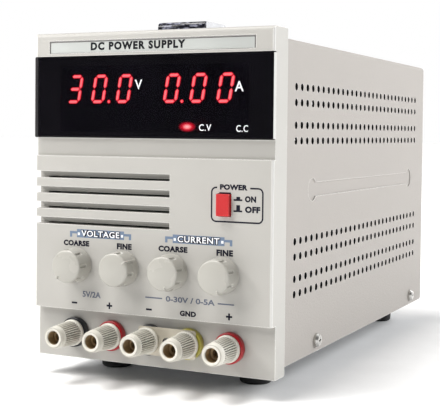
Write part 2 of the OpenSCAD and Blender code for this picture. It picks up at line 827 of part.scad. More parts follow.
// rings welded onto two crossed wires, whose four eyes take the fan's screws
module fan_guard()
    from_front() color("silver") translate([0, 0, fan_z]) {
        eye = fan_hole_pitch / sqrt(2);
        for (r = guard_rings) turned_y(0, 0, [
            [r - guard_wire_r, ring_y], [r, ring_y - guard_wire_r],
            [r + guard_wire_r, ring_y], [r, ring_y + guard_wire_r]
        ]);
        for (turn = [45, 135]) rotate([0, turn, 0]) difference() {
            union() {
                block([-1, 1], [panel_back, panel_back + guard_bar_t], [-eye, eye]);
                for (z = [-eye, eye]) rod_y(panel_back, panel_back + guard_bar_t, 3.8, 0, z);
            }
            for (z = [-eye, eye]) rod_y(panel_back - over, panel_back + 3, screw_clear_r, 0, z);
        }
    }

module fan_screws()
    from_front() color("silver")
        for (x = [-1, 1], z = [-1, 1])
            translate([x * fan_hole_pitch / 2, panel_back + guard_bar_t,
                       fan_z + z * fan_hole_pitch / 2]) rotate([90, 0, 0]) screw(14);

// mains inlet with a fuse drawer under its socket
socket_z = inlet_z + 4.5;
drawer_z = inlet_z - 10;

// the three contacts of the inlet, earth in the middle
module contacts()
    for (p = [[-7, -1.5], [0, 2.5], [7, -1.5]])
        block([inlet_x + p[0] - 1, inlet_x + p[0] + 1], [panel_back - 32, panel_back - 2],
              [socket_z + p[1] - 2, socket_z + p[1] + 2]);

module inlet_body()
    from_front() color([0.1, 0.1, 0.1]) difference() {
        union() {
            translate([inlet_x, 0, inlet_z + 1]) plate_xz(panel_back, panel_back + 2.2) soft_rect(34, 37, 2);
            block([inlet_x - 13.8, inlet_x + 13.8], [panel_back - 24, panel_back + over],
                  [inlet_z - 14.3, inlet_z + 16.3]);
        }
        translate([inlet_x, 0, socket_z]) plate_xz(panel_back - 16, panel_back + 3)
            polygon([[-12, -8], [12, -8], [12, 3.5], [7.5, 8], [-7.5, 8], [-12, 3.5]]);
        block([inlet_x - 11, inlet_x + 11], [panel_back - 18, panel_back + 3], [drawer_z - 3, drawer_z + 3]);
        contacts();
    }

module inlet_pins() from_front() color("gold") contacts();

module fuse_drawer()
    from_front() color([0.16, 0.16, 0.16]) {
        block([inlet_x - 10.9, inlet_x + 10.9], [panel_back - 17.5, panel_back + 2.4],
              [drawer_z - 2.9, drawer_z + 2.9]);
        block([inlet_x - 4, inlet_x + 4], [panel_back + 2, panel_back + 3.4], [drawer_z + 1, drawer_z + 2.6]);
    }

front_bezel();
display_window();
name_plate();
case_cover();
base_chassis();
rear_panel();
case_screws();
rubber_feet();
foot_screws();
handle_strap();
strap_ends();
handle_ends();
handle_screws();
knob_voltage_coarse();
knob_voltage_fine();
knob_current_coarse();
knob_current_fine();
shaft_voltage_coarse();
shaft_voltage_fine();
shaft_current_coarse();
shaft_current_fine();
pot_bodies();
pot_nuts();
power_button();
switch_plunger();
switch_body();
display_board();
digit_modules();
lit_segments();
cv_led();
cc_led();
post_studs();
collars_black();
collars_red();
collar_yellow();
post_nuts();
ground_link();
insert_1();
insert_2();
insert_3();
insert_4();
insert_5();
cap_1();
cap_2();
cap_3();
cap_4();
cap_5();
transformer_core();
transformer_windings();
main_board();
filter_capacitors();
heatsinks();
power_transistors();
fan_frame();
fan_rotor();
fan_guard();
fan_screws();
inlet_body();
inlet_pins();
fuse_drawer();
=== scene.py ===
import math

import bmesh
import bpy
from mathutils import Matrix, Vector


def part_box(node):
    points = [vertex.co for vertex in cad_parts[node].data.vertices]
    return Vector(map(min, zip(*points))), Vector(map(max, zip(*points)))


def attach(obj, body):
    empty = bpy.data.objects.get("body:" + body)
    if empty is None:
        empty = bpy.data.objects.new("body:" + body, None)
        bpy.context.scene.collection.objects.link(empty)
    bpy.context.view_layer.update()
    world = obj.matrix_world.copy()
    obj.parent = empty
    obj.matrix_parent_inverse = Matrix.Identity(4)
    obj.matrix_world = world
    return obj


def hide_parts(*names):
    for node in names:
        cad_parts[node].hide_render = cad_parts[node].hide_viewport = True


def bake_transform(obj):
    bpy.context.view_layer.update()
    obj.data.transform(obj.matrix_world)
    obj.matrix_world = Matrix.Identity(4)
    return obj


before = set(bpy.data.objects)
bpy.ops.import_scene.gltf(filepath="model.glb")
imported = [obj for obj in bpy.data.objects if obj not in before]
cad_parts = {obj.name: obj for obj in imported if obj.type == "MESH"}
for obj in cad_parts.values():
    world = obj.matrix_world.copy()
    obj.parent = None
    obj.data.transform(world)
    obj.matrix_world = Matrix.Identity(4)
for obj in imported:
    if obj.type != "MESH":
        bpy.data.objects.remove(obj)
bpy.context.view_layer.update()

MM = 0.001
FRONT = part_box("front_bezel")[0].y  # the front face, from which depths run back


def place(x, depth, z):
    """A point in metres, from millimetres across, behind the front face and up from the bench."""
    return Vector((x * MM, FRONT + depth * MM, z * MM))


def centre_of(node):
    """The middle of a CAD node across and up, in millimetres."""
    lo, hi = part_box(node)
    return (lo.x + hi.x) / 2 / MM, (lo.z + hi.z) / 2 / MM


def depth_of(node):
    """How far behind the front face a CAD node starts and ends, in millimetres."""
    lo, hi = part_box(node)
    return (lo.y - FRONT) / MM, (hi.y - FRONT) / MM


# ---- camera, light and floor ----

def make_camera():
    """A long lens out to the right, level with the foot of the display and tilted a little down."""
    data = bpy.data.cameras.new("camera")
    data.sensor_width = 36
    data.lens = 87.147
    data.shift_y = -0.0989
    data.clip_start, data.clip_end = 0.02, 60
    camera = bpy.data.objects.new("camera", data)
    bpy.context.scene.collection.objects.link(camera)
    yaw, pitch, roll = (math.radians(a) for a in (25.844, 1.724, 0.561))
    up = Vector((0, 0, 1))
    right = Vector((math.cos(yaw), math.sin(yaw), 0))
    ahead = Vector((-math.sin(yaw), math.cos(yaw), 0))
    sight = ahead * math.cos(pitch) - up * math.sin(pitch)
    above = up * math.cos(pitch) + ahead * math.sin(pitch)
    side = right * math.cos(roll) + above * math.sin(roll)
    top = above * math.cos(roll) - right * math.sin(roll)
    turned_to = Matrix((side, top, -sight)).transposed().to_4x4()
    camera.matrix_world = Matrix.Translation((0.25209, -0.56309, 0.12306)) @ turned_to
    bpy.context.scene.camera = camera


def area_light(name, where, target, size, power, colour=(1, 1, 1)):
    data = bpy.data.lights.new(name, "AREA")
    data.shape = "RECTANGLE"
    data.size, data.size_y = size
    data.energy, data.color = power, colour
    lamp = bpy.data.objects.new(name, data)
    bpy.context.scene.collection.objects.link(lamp)
    lamp.location = where
    aim = Vector(target) - Vector(where)
    lamp.rotation_mode = "QUATERNION"
    lamp.rotation_quaternion = aim.to_track_quat("-Z", "Y")


def make_lights():
    """A high broad key, a nearer soft light from the front left, and one on the vented side."""
    data = bpy.data.lights.new("key", "SUN")
    data.energy, data.angle, data.color = 3.3, math.radians(30), (1, 0.985, 0.965)
    key = bpy.data.objects.new("key", data)
    bpy.context.scene.collection.objects.link(key)
    key.rotation_mode = "QUATERNION"
    key.rotation_quaternion = Vector((0.38, 0.36, -1.25)).to_track_quat("-Z", "Y")
    area_light("front_left", (-0.42, -0.5, 0.42), (-0.02, -0.13, 0.08), (0.22, 0.22), 2.5, (1, 0.99, 0.975))
    area_light("side_fill", (1.9, 1.5, 1.3), (0, 0, 0.08), (1.4, 1.4), 68, (0.98, 0.99, 1))


def make_world():
    """A plain pale room: white near the horizon, softer light from above and from behind the camera."""
    world = bpy.data.worlds.new("studio")
    bpy.context.scene.world = world
    world.use_nodes = True
    nt = world.node_tree
    background = nt.nodes["Background"]
    ray = axes_of(nt, nt.nodes.new("ShaderNodeTexCoord").outputs["Generated"])
    above = spread(nt, ray["Z"], 1.0, 0.42, start=0.16, end=0.5)
    ahead = spread(nt, ray["Y"], 0.2, 1.0, start=-0.4, end=0.65)
    nt.links.new(maths(nt, "MULTIPLY", above, ahead), background.inputs["Strength"])
    background.inputs["Color"].default_value = (1, 1, 1, 1)


def make_floor():
    mesh = bpy.data.meshes.new("floor")
    reach = 14
    corners = [(-reach, -reach, 0), (reach, -reach, 0), (reach, reach, 0), (-reach, reach, 0)]
    mesh.from_pydata(corners, [], [(0, 1, 2, 3)])
    floor = bpy.data.objects.new("floor", mesh)
    bpy.context.scene.collection.objects.link(floor)
    mesh.materials.append(plain("floor_white", (0.9, 0.9, 0.9), 0.75, grain=2.0, relief=0.02))


# ---- material parts ----

def rgb(r, g, b):
    """A colour given in screen values from 0 to 255, as the shader's linear values."""
    return tuple(c / 255 / 12.92 if c <= 10 else ((c / 255 + 0.055) / 1.055) ** 2.4 for c in (r, g, b))


def new_material(name):
    """A material with one Principled shader."""
    material = bpy.data.materials.new(name)
    material.use_nodes = True
    nt = material.node_tree
    nt.nodes.clear()
    out = nt.nodes.new("ShaderNodeOutputMaterial")
    shader = nt.nodes.new("ShaderNodeBsdfPrincipled")
    nt.links.new(shader.outputs["BSDF"], out.inputs["Surface"])
    return material, nt, shader


def speckle(nt, size, detail=3, stretch=(1, 1, 1)):
    """Noise whose patches are about size millimetres across, drawn out along an axis by stretch."""
    mapping = nt.nodes.new("ShaderNodeMapping")
    mapping.inputs["Scale"].default_value = [1 / MM / size / s for s in stretch]
    noise = nt.nodes.new("ShaderNodeTexNoise")
    noise.inputs["Scale"].default_value = 1
    noise.inputs["Detail"].default_value = detail
    nt.links.new(object_point(nt), mapping.inputs["Vector"])
    nt.links.new(mapping.outputs["Vector"], noise.inputs["Vector"])
    return noise.outputs["Fac"]


def spread(nt, value, low, high, start=0.25, end=0.75):
    """Runs evenly from low to high while the value goes from start to end, and stays there outside them."""
    node = nt.nodes.new("ShaderNodeMapRange")
    node.inputs["From Min"].default_value = start
    node.inputs["From Max"].default_value = end
    node.inputs["To Min"].default_value = low
    node.inputs["To Max"].default_value = high
    nt.links.new(value, node.inputs["Value"])
    return node.outputs["Result"]


def blend_colours(nt, factor, first, second):
    """A mix of two colours, either of which may be another node's output."""
    mix = nt.nodes.new("ShaderNodeMix")
    mix.data_type = "RGBA"
    for socket, colour in ((mix.inputs[6], first), (mix.inputs[7], second)):
        if isinstance(colour, bpy.types.NodeSocket):
            nt.links.new(colour, socket)
        else:
            socket.default_value = (*colour, 1)
    nt.links.new(factor, mix.inputs[0])
    return mix.outputs[2]


def scaled(colour, by):
    return tuple(min(1, c * by) for c in colour)


def add_relief(nt, shader, height, distance, strength=1.0):
    """Bump of the given height in millimetres, on top of any that the shader already has."""
    bump = nt.nodes.new("ShaderNodeBump")
    bump.inputs["Strength"].default_value = strength
    bump.inputs["Distance"].default_value = distance * MM
    nt.links.new(height, bump.inputs["Height"])
    if shader.inputs["Normal"].is_linked:
        nt.links.new(shader.inputs["Normal"].links[0].from_socket, bump.inputs["Normal"])
    nt.links.new(bump.outputs["Normal"], shader.inputs["Normal"])


def vector_math(nt, operation, first, second=None, output="Vector"):
    node = nt.nodes.new("ShaderNodeVectorMath")
    node.operation = operation
    nt.links.new(first, node.inputs[0])
    if second is not None:
        node.inputs[1].default_value = second
    return node.outputs[output]


def maths(nt, operation, *values):
    node = nt.nodes.new("ShaderNodeMath")
    node.operation = operation
    for socket, value in zip(node.inputs, values):
        if isinstance(value, bpy.types.NodeSocket):
            nt.links.new(value, socket)
        else:
            socket.default_value = value
    return node.outputs[0]


def object_point(nt):
    return nt.nodes.new("ShaderNodeTexCoord").outputs["Object"]


def axes_of(nt, vector):
    """A vector's X, Y and Z, by name."""
    split = nt.nodes.new("ShaderNodeSeparateXYZ")
    nt.links.new(vector, split.inputs[0])
    return split.outputs


def recolour(nt, shader, mask, colour):
    """Lays another colour over the shader's own wherever the mask is 1."""
    own = shader.inputs["Base Color"].links[0].from_socket
    nt.links.new(blend_colours(nt, mask, own, colour), shader.inputs["Base Color"])


def edge_mask(nt, radius):
    """1 along sharp edges and 0 on open faces, where the rounded normal leaves the flat one."""
    rounded = nt.nodes.new("ShaderNodeBevel")
    rounded.samples = 4
    rounded.inputs["Radius"].default_value = radius * MM
    flat = nt.nodes.new("ShaderNodeNewGeometry")
    dot = nt.nodes.new("ShaderNodeVectorMath")
    dot.operation = "DOT_PRODUCT"
    nt.links.new(rounded.outputs["Normal"], dot.inputs[0])
    nt.links.new(flat.outputs["True Normal"], dot.inputs[1])
    return spread(nt, dot.outputs["Value"], 1, 0, start=0.8, end=0.99)


def plain(name, colour, roughness, grain=0.5, relief=0.015, vary=0.03,
          edge=None, edge_radius=0.3, specular=0.5, metallic=0.0):
    """A moulded, painted or printed surface: fine grain, faint colour change, and lighter edges that are
    partly wear and partly a painted highlight.
    """
    material, nt, shader = new_material(name)
    blotch, rough_vary = 25, 0.05
    fine = speckle(nt, grain)
    wide = speckle(nt, blotch, detail=4)
    tone = blend_colours(nt, spread(nt, wide, 0, 1), scaled(colour, 1 - vary), scaled(colour, 1 + vary))
    tone = blend_colours(nt, spread(nt, fine, 0, 0.35), tone, scaled(colour, 1 - 2 * vary))
    if edge:
        # lighter edges: partly wear, partly a painted highlight
        tone = blend_colours(nt, edge_mask(nt, edge_radius), tone, edge)
    nt.links.new(tone, shader.inputs["Base Color"])
    nt.links.new(spread(nt, wide, roughness - rough_vary, roughness + rough_vary), shader.inputs["Roughness"])
    add_relief(nt, shader, fine, relief)
    shader.inputs["Specular IOR Level"].default_value = specular
    shader.inputs["Metallic"].default_value = metallic
    return material


def brushed(name, colour, roughness, stretch=(30, 1, 30), metallic=1.0):
    """Bare or plated metal with fine drawn lines, smudges and brighter edges that are partly wear and partly
    a painted highlight.
    """
    material, nt, shader = new_material(name)
    relief, vary = 0.004, 0.06
    lines = speckle(nt, 0.25, detail=2, stretch=stretch)
    smudge = speckle(nt, 6, detail=5)
    tone = blend_colours(nt, spread(nt, lines, 0, 1), scaled(colour, 1 - vary), scaled(colour, 1 + vary))
    # brighter edges: partly wear, partly a painted highlight
    tone = blend_colours(nt, edge_mask(nt, 0.15), tone, scaled(colour, 1.25))
    nt.links.new(tone, shader.inputs["Base Color"])
    nt.links.new(spread(nt, smudge, roughness - 0.07, roughness + 0.1), shader.inputs["Roughness"])
    add_relief(nt, shader, lines, relief)
    shader.inputs["Metallic"].default_value = metallic
    return material


def glowing(name, colour, light, strength):
    """A lit plastic diffuser: its light is slightly uneven."""
    material, nt, shader = new_material(name)
    uneven = speckle(nt, 1.2, detail=2)
    shader.inputs["Base Color"].default_value = (*colour, 1)
    shader.inputs["Roughness"].default_value = 0.5
    nt.links.new(blend_colours(nt, spread(nt, uneven, 0, 1), scaled(light, 0.85), light),
                 shader.inputs["Emission Color"])
    shader.inputs["Emission Strength"].default_value = strength
    add_relief(nt, shader, uneven, 0.01)
    return material


def painted_shade_within(material, node, colour):
    """Paints shade in another colour on a folded cover beneath its outer skin: inside it and down its holes.
    The pressed groove, whose floor lies deeper than the skin, is in the band of heights left out."""
    nt = material.node_tree
    fold, skin, band, sheet = 2.4, 0.1, (86, 102), 1.5
    lo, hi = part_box(node)
    point = object_point(nt)
    core = (hi.x - fold * MM, 9, hi.z - fold * MM)  # the 9 m keeps depth out of it
    past = vector_math(nt, "SUBTRACT", vector_math(nt, "ABSOLUTE", point), core)
    reach = vector_math(nt, "LENGTH", vector_math(nt, "MAXIMUM", past, (0, 0, 0)), output="Value")
    under = spread(nt, reach, 1, 0, start=(fold - skin - 0.05) * MM, end=(fold - skin) * MM)
    middle = Vector((0, (lo.y + hi.y) / 2, (band[0] + band[1]) / 2 * MM))
    away = axes_of(nt, vector_math(nt, "ABSOLUTE", vector_math(nt, "SUBTRACT", point, middle)))
    length, height = (hi.y - lo.y) / 2 - sheet * MM, (band[1] - band[0]) / 2 * MM
    within = spread(nt, away["Y"], 1, 0, start=length - 0.1 * MM, end=length)
    clear = spread(nt, away["Z"], 0, 1, start=height - 0.1 * MM, end=height)
    # painted shade: the inside of the cover and the walls of its holes are coloured near black
    mask = maths(nt, "MULTIPLY", maths(nt, "MULTIPLY", under, within), clear)
    recolour(nt, nt.nodes["Principled BSDF"], mask, colour)
    return material


def painted_corner_highlight(material, colour):
    """A painted highlight where a surface faces between front and side, as on a panel's round upright edges.
    """
    nt = material.node_tree
    normal = axes_of(nt, nt.nodes.new("ShaderNodeTexCoord").outputs["Normal"])
    both = maths(nt, "ABSOLUTE", maths(nt, "MULTIPLY", normal["X"], normal["Y"]))
    # painted highlight on the rounded corners between front and side
    recolour(nt, nt.nodes["Principled BSDF"], spread(nt, both, 0, 1, start=0.06, end=0.25), colour)
    return material


# ---- materials ----

def window_material():
    """Smoked acrylic, polished and nearly black, with a painted highlight along its edges. The lit bars show
    through it.
    """
    material, nt, shader = new_material("window_acrylic")
    cloud = speckle(nt, 18, detail=5)
    dark = rgb(8, 7, 11)
    body = blend_colours(nt, spread(nt, cloud, 0, 1), dark, scaled(dark, 1.9))
    lo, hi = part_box("display_window")
    away = vector_math(nt, "SUBTRACT", object_point(nt), (lo + hi) / 2)
    past = axes_of(nt, vector_math(nt, "SUBTRACT", vector_math(nt, "ABSOLUTE", away), (hi - lo) / 2))
    # the pale rim along the window's edges is a painted highlight
    rim = spread(nt, maths(nt, "MAXIMUM", past["X"], past["Z"]), 0, 1, start=-0.12 * MM, end=-0.06 * MM)
    nt.links.new(blend_colours(nt, rim, body, rgb(224, 224, 221)), shader.inputs["Base Color"])
    nt.links.new(spread(nt, speckle(nt, 7, detail=4), 0.06, 0.16), shader.inputs["Roughness"])
    shader.inputs["Specular IOR Level"].default_value = 0.03
    shader.inputs["Alpha"].default_value = 0.8
    add_relief(nt, shader, cloud, 0.006)
    return material


LAMP = (18.9, 125.8, 4.7, 2.5)  # the lit patch: its middle across and up, and half its width and height


def lamp_material():
    """A lamp's diffuser, white-hot at its middle and fading to nothing at its rim."""
    material, nt, shader = new_material("lamp_lit")
    x, z, half_w, half_h = LAMP
    middle = place(x, 0, z)
    away = vector_math(nt, "SUBTRACT", object_point(nt), middle)
    away = vector_math(nt, "MULTIPLY", away, (1 / (half_w * MM), 0, 1 / (half_h * MM)))
    share = vector_math(nt, "LENGTH", away, output="Value")
    red = blend_colours(nt, spread(nt, share, 1, 0, start=0.3, end=1), (0, 0, 0), (0.9, 0.01, 0.035))
    light = blend_colours(nt, spread(nt, share, 1, 0, start=0.05, end=0.55), red, (1, 0.45, 0.45))
    nt.links.new(light, shader.inputs["Emission Color"])
    shader.inputs["Base Color"].default_value = (0.02, 0.001, 0.001, 1)
    shader.inputs["Emission Strength"].default_value = 27
    add_relief(nt, shader, speckle(nt, 0.6), 0.01)
    return material


def vinyl_material():
    """Strap vinyl with a pressed leather-like grain, with painted shade in its creases."""
    material, nt, shader = new_material("strap_vinyl")
    cells = nt.nodes.new("ShaderNodeTexVoronoi")
    cells.feature = "DISTANCE_TO_EDGE"
    cells.inputs["Scale"].default_value = 1 / (1.1 * MM)
    nt.links.new(object_point(nt), cells.inputs["Vector"])
    creases = spread(nt, cells.outputs["Distance"], 0, 1, start=0, end=0.18)
    colour = rgb(190, 189, 184)
    # painted shade: the creases are coloured darker
    tone = blend_colours(nt, creases, scaled(colour, 0.78), colour)
    tone = blend_colours(nt, spread(nt, speckle(nt, 14), 0, 0.3), tone, scaled(colour, 0.9))
    nt.links.new(tone, shader.inputs["Base Color"])
    nt.links.new(spread(nt, creases, 0.62, 0.42, start=0, end=1), shader.inputs["Roughness"])
    add_relief(nt, shader, creases, 0.12, 0.7)
    return material


def handle_material():
    """A plated end cap whose glossy outer lip is coloured dark with pale patches, a painted reflection with
    painted glints, under an uneven skin.
    """
    material, nt, shader = new_material("handle_black")
    skin = speckle(nt, 1.5, detail=3, stretch=(2.4, 1, 1))
    colour = rgb(36, 37, 56)
    # the lip's dark colour is a painted reflection of a dark room, and its pale patches are painted glints
    painted_glints = spread(nt, skin, 0, 1, start=0.5, end=0.66)
    dark = blend_colours(nt, painted_glints, scaled(colour, 0.3), rgb(150, 152, 170))
    lo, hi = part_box("handle_ends")
    point = vector_math(nt, "SUBTRACT", object_point(nt), (0, (lo.y + hi.y) / 2, 0))
    away = axes_of(nt, vector_math(nt, "ABSOLUTE", point))
    lip = (hi.y - lo.y) / 2 - 2 * MM
    plated = spread(nt, away["Y"], 1, 0, start=lip, end=lip + 0.1 * MM)
    nt.links.new(blend_colours(nt, plated, dark, rgb(226, 227, 230)), shader.inputs["Base Color"])
    nt.links.new(spread(nt, plated, 0, 0.85, start=0, end=1), shader.inputs["Metallic"])
    nt.links.new(spread(nt, skin, 0.12, 0.3), shader.inputs["Roughness"])
    uneven = maths(nt, "MULTIPLY", skin, spread(nt, plated, 1, 0.06, start=0, end=1))
    add_relief(nt, shader, uneven, 0.12, 0.8)
    shader.inputs["Specular IOR Level"].default_value = 0.3
    return material


def board_material():
    """Circuit board laminate with darker copper tracks under the solder mask."""
    material, nt, shader = new_material("board_green")
    bricks = nt.nodes.new("ShaderNodeTexBrick")
    bricks.inputs["Scale"].default_value = 1 / (14 * MM)
    bricks.inputs["Mortar Size"].default_value = 0.06
    bricks.inputs["Color1"].default_value = (*rgb(28, 92, 52), 1)
    bricks.inputs["Color2"].default_value = (*rgb(34, 104, 58), 1)
    bricks.inputs["Mortar"].default_value = (*rgb(58, 134, 70), 1)
    nt.links.new(object_point(nt), bricks.inputs["Vector"])
    nt.links.new(bricks.outputs["Color"], shader.inputs["Base Color"])
    shader.inputs["Roughness"].default_value = 0.35
    add_relief(nt, shader, bricks.outputs["Fac"], 0.05)
    return material


def striped(name, first, second, spacing, roughness, along, metallic=0.0):
    """Layers edge-on, such as laminations or wound tape, that follow each other along an axis."""
    material, nt, shader = new_material(name)
    wave = nt.nodes.new("ShaderNodeTexWave")
    wave.bands_direction = along
    wave.inputs["Scale"].default_value = 0.314 / (spacing * MM)
    wave.inputs["Distortion"].default_value = 0.4
    nt.links.new(object_point(nt), wave.inputs["Vector"])
    nt.links.new(blend_colours(nt, wave.outputs["Fac"], first, second), shader.inputs["Base Color"])
    nt.links.new(spread(nt, speckle(nt, 8), roughness - 0.06, roughness + 0.06), shader.inputs["Roughness"])
    add_relief(nt, shader, wave.outputs["Fac"], 0.08)
    shader.inputs["Metallic"].default_value = metallic
    return material


CAP_RIB_R, CAP_TAPER = 6.03, 0.66  # radius of a cap's ribs at the back, and how much they lose to the front
CAP_RIBS_FROM, CAP_RIBS_TO = 3.1, 2.2  # where they start behind the cap's front and end before its back


def cap_material():
    """Moulded ivory, darker down in the grooves between the ribs: painted shade."""
    material = plain("cap_ivory", rgb(212, 209, 199), 0.3, grain=0.8, relief=0.008, vary=0.015,
                     edge=rgb(238, 236, 228), edge_radius=0.25)
    nt = material.node_tree
    point = axes_of(nt, object_point(nt))
    pitch = centre_of("cap_2")[0] - centre_of("cap_1")[0]
    across = maths(nt, "WRAP", point["X"], pitch / 2 * MM, -pitch / 2 * MM)
    up = maths(nt, "SUBTRACT", point["Z"], centre_of("cap_1")[1] * MM)
    squares = maths(nt, "ADD", maths(nt, "MULTIPLY", across, across), maths(nt, "MULTIPLY", up, up))
    radius = maths(nt, "SQRT", squares)
    front, back = depth_of("cap_1")
    taper = CAP_TAPER / (back - CAP_RIBS_TO - (front + CAP_RIBS_FROM))
    forward = maths(nt, "SUBTRACT", (back - CAP_RIBS_TO) * MM + FRONT, point["Y"])
    full = maths(nt, "SUBTRACT", CAP_RIB_R * MM, maths(nt, "MULTIPLY", forward, taper))
    # painted shade: the grooves between the ribs are coloured darker
    groove = spread(nt, maths(nt, "SUBTRACT", full, radius), 0, 0.8, start=0.1 * MM, end=0.6 * MM)
    outside = spread(nt, radius, 0, 1, start=4.5 * MM, end=4.7 * MM)
    recolour(nt, nt.nodes["Principled BSDF"], maths(nt, "MULTIPLY", groove, outside), rgb(112, 108, 98))
    return material


def painted(name, edge, edge_radius):
    """The case's powder coat, paler along its edges: partly wear and partly a painted highlight."""
    return plain(name, rgb(163, 158, 153), 0.55, grain=0.9, relief=0.15, vary=0.03,
                 edge=edge, edge_radius=edge_radius, specular=0.28)


def make_materials():
    """Every material, by a short name."""
    # each edge colour below paints its material's edges lighter: partly wear, partly a painted highlight
    return {
        "panel": painted_corner_highlight(plain("panel_plastic", rgb(178, 176, 171), 0.42, grain=0.55, relief=0.05,
                                        vary=0.02, edge=rgb(232, 231, 228), edge_radius=0.7),
                                  rgb(220, 219, 216)),
        "paint": painted("case_paint", rgb(214, 211, 207), 0.45),
        "cover": painted_shade_within(painted("cover_paint", rgb(238, 236, 233), 0.5), "case_cover", rgb(14, 14, 15)),
        "window": window_material(),
        "mask": plain("window_mask", rgb(10, 9, 13), 0.7, vary=0.1),
        "plate": plain("plate_silver", rgb(190, 193, 190), 0.34, grain=0.2, relief=0.006, vary=0.02,
                       metallic=0.25, edge=rgb(240, 240, 238), edge_radius=0.2),
        "tray": brushed("tray_steel", rgb(188, 190, 192), 0.4, stretch=(1, 30, 1)),
        "screw": brushed("screw_steel", rgb(205, 204, 200), 0.28, stretch=(1, 1, 1)),
        "rubber": plain("foot_rubber", rgb(26, 26, 27), 0.72, grain=0.6, relief=0.05, vary=0.12,
                        edge=rgb(52, 52, 53), edge_radius=0.4),
        "vinyl": vinyl_material(),
        "handle": handle_material(),
        "knob": plain("knob_ivory", rgb(173, 171, 164), 0.28, grain=0.9, relief=0.008, vary=0.015,
                      edge=rgb(212, 211, 205), edge_radius=0.35),
        "cap": cap_material(),
        "alloy": brushed("shaft_alloy", rgb(196, 197, 198), 0.32),
        "pot": brushed("pot_shell", rgb(150, 152, 154), 0.4, stretch=(1, 1, 1)),
        "button": plain("button_red", rgb(186, 26, 30), 0.3, grain=0.6, relief=0.01, vary=0.03,
                        edge=rgb(236, 84, 82), edge_radius=0.35),
        "plunger": plain("plunger_white", rgb(232, 232, 228), 0.4),
        "switch": plain("switch_black", rgb(40, 40, 44), 0.45, vary=0.06),
        "board": board_material(),
        "digit": plain("digit_black", rgb(16, 14, 16), 0.6, vary=0.1),
        "bar_rim": glowing("segment_rim", (0.6, 0.02, 0.03), (1, 0.02, 0.045), 25),
        "bar_core": glowing("segment_core", (0.8, 0.1, 0.1), (1, 0.17, 0.19), 32),
        "lamp_lit": lamp_material(),
        "lamp_dark": plain("led_red_dark", rgb(60, 10, 14), 0.25, vary=0.06),
        "brass": brushed("post_brass", rgb(168, 142, 88), 0.34, stretch=(1, 12, 1)),
        "lining": plain("lining_brass", rgb(172, 150, 116), 0.42, grain=0.5, vary=0.05, metallic=0.3),
        "collar_black": plain("collar_black", rgb(15, 17, 24), 0.3, grain=0.6, vary=0.08,
                              edge=rgb(60, 62, 70), edge_radius=0.3),
        "collar_red": plain("collar_red", rgb(158, 16, 27), 0.3, grain=0.6, vary=0.04,
                            edge=rgb(205, 62, 64), edge_radius=0.3),
        "collar_yellow": plain("collar_yellow", rgb(166, 158, 66), 0.32, grain=0.6, vary=0.04,
                               edge=rgb(208, 204, 120), edge_radius=0.3),
        "link": brushed("link_metal", rgb(190, 183, 168), 0.34, metallic=0.5),
        "core": striped("core_steel", rgb(92, 94, 98), rgb(64, 66, 70), 0.6, 0.45, "Y", metallic=0.8),
        "winding": striped("winding_tape", rgb(196, 150, 44), rgb(170, 122, 30), 6, 0.45, "Z"),
        "sleeve": plain("capacitor_sleeve", rgb(34, 38, 78), 0.3, vary=0.05),
        "sink": plain("sink_black", rgb(38, 38, 41), 0.4, grain=0.4, vary=0.06, specular=0.6),
        "package": plain("package_black", rgb(30, 30, 31), 0.55, vary=0.08),
        "fan": plain("fan_black", rgb(30, 31, 33), 0.42, grain=0.5, vary=0.06,
                     edge=rgb(62, 63, 66), edge_radius=0.4),
        "wire": brushed("guard_wire", rgb(206, 207, 208), 0.2, stretch=(1, 1, 1)),
        "inlet": plain("inlet_black", rgb(27, 27, 29), 0.4, grain=0.4, vary=0.06,
                       edge=rgb(58, 58, 60), edge_radius=0.3),
        "nickel": brushed("contact_nickel", rgb(198, 192, 176), 0.25, stretch=(1, 12, 1)),
        "ink_navy": plain("ink_navy", rgb(13, 14, 32), 0.55, grain=0.2, vary=0.06, specular=0.2),
        "ink_black": plain("ink_black", rgb(8, 9, 17), 0.55, grain=0.2, vary=0.06, specular=0.2),
        "painted_pocket_shadow": plain("painted_pocket_shadow", rgb(74, 66, 68), 0.5, grain=0.2, vary=0.04),
        "ink_grey": plain("ink_grey", rgb(88, 94, 112), 0.5, grain=0.2, vary=0.04),
        "ink_blue": plain("ink_blue", rgb(104, 122, 146), 0.5, grain=0.2, vary=0.04),
        "ink_white": plain("ink_white", rgb(236, 238, 242), 0.5, grain=0.2, vary=0.02),
    }


# ---- CAD nodes that keep their shape ----

def dress(node, material, soften=0.0):
    """Gives a CAD node its material and, where asked, rounds its edges by so many millimetres."""
    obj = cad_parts[node]
    for slot in obj.material_slots:
        slot.material = material
    if soften:
        weld = obj.modifiers.new("weld", "WELD")
        weld.merge_threshold = 0.002 * MM
        bevel = obj.modifiers.new("soften", "BEVEL")
        bevel.width = soften * MM
        bevel.segments = 3
        bevel.limit_method = "ANGLE"
        bevel.angle_limit = math.radians(40)
        bevel.use_clamp_overlap = True
        bevel.harden_normals = True


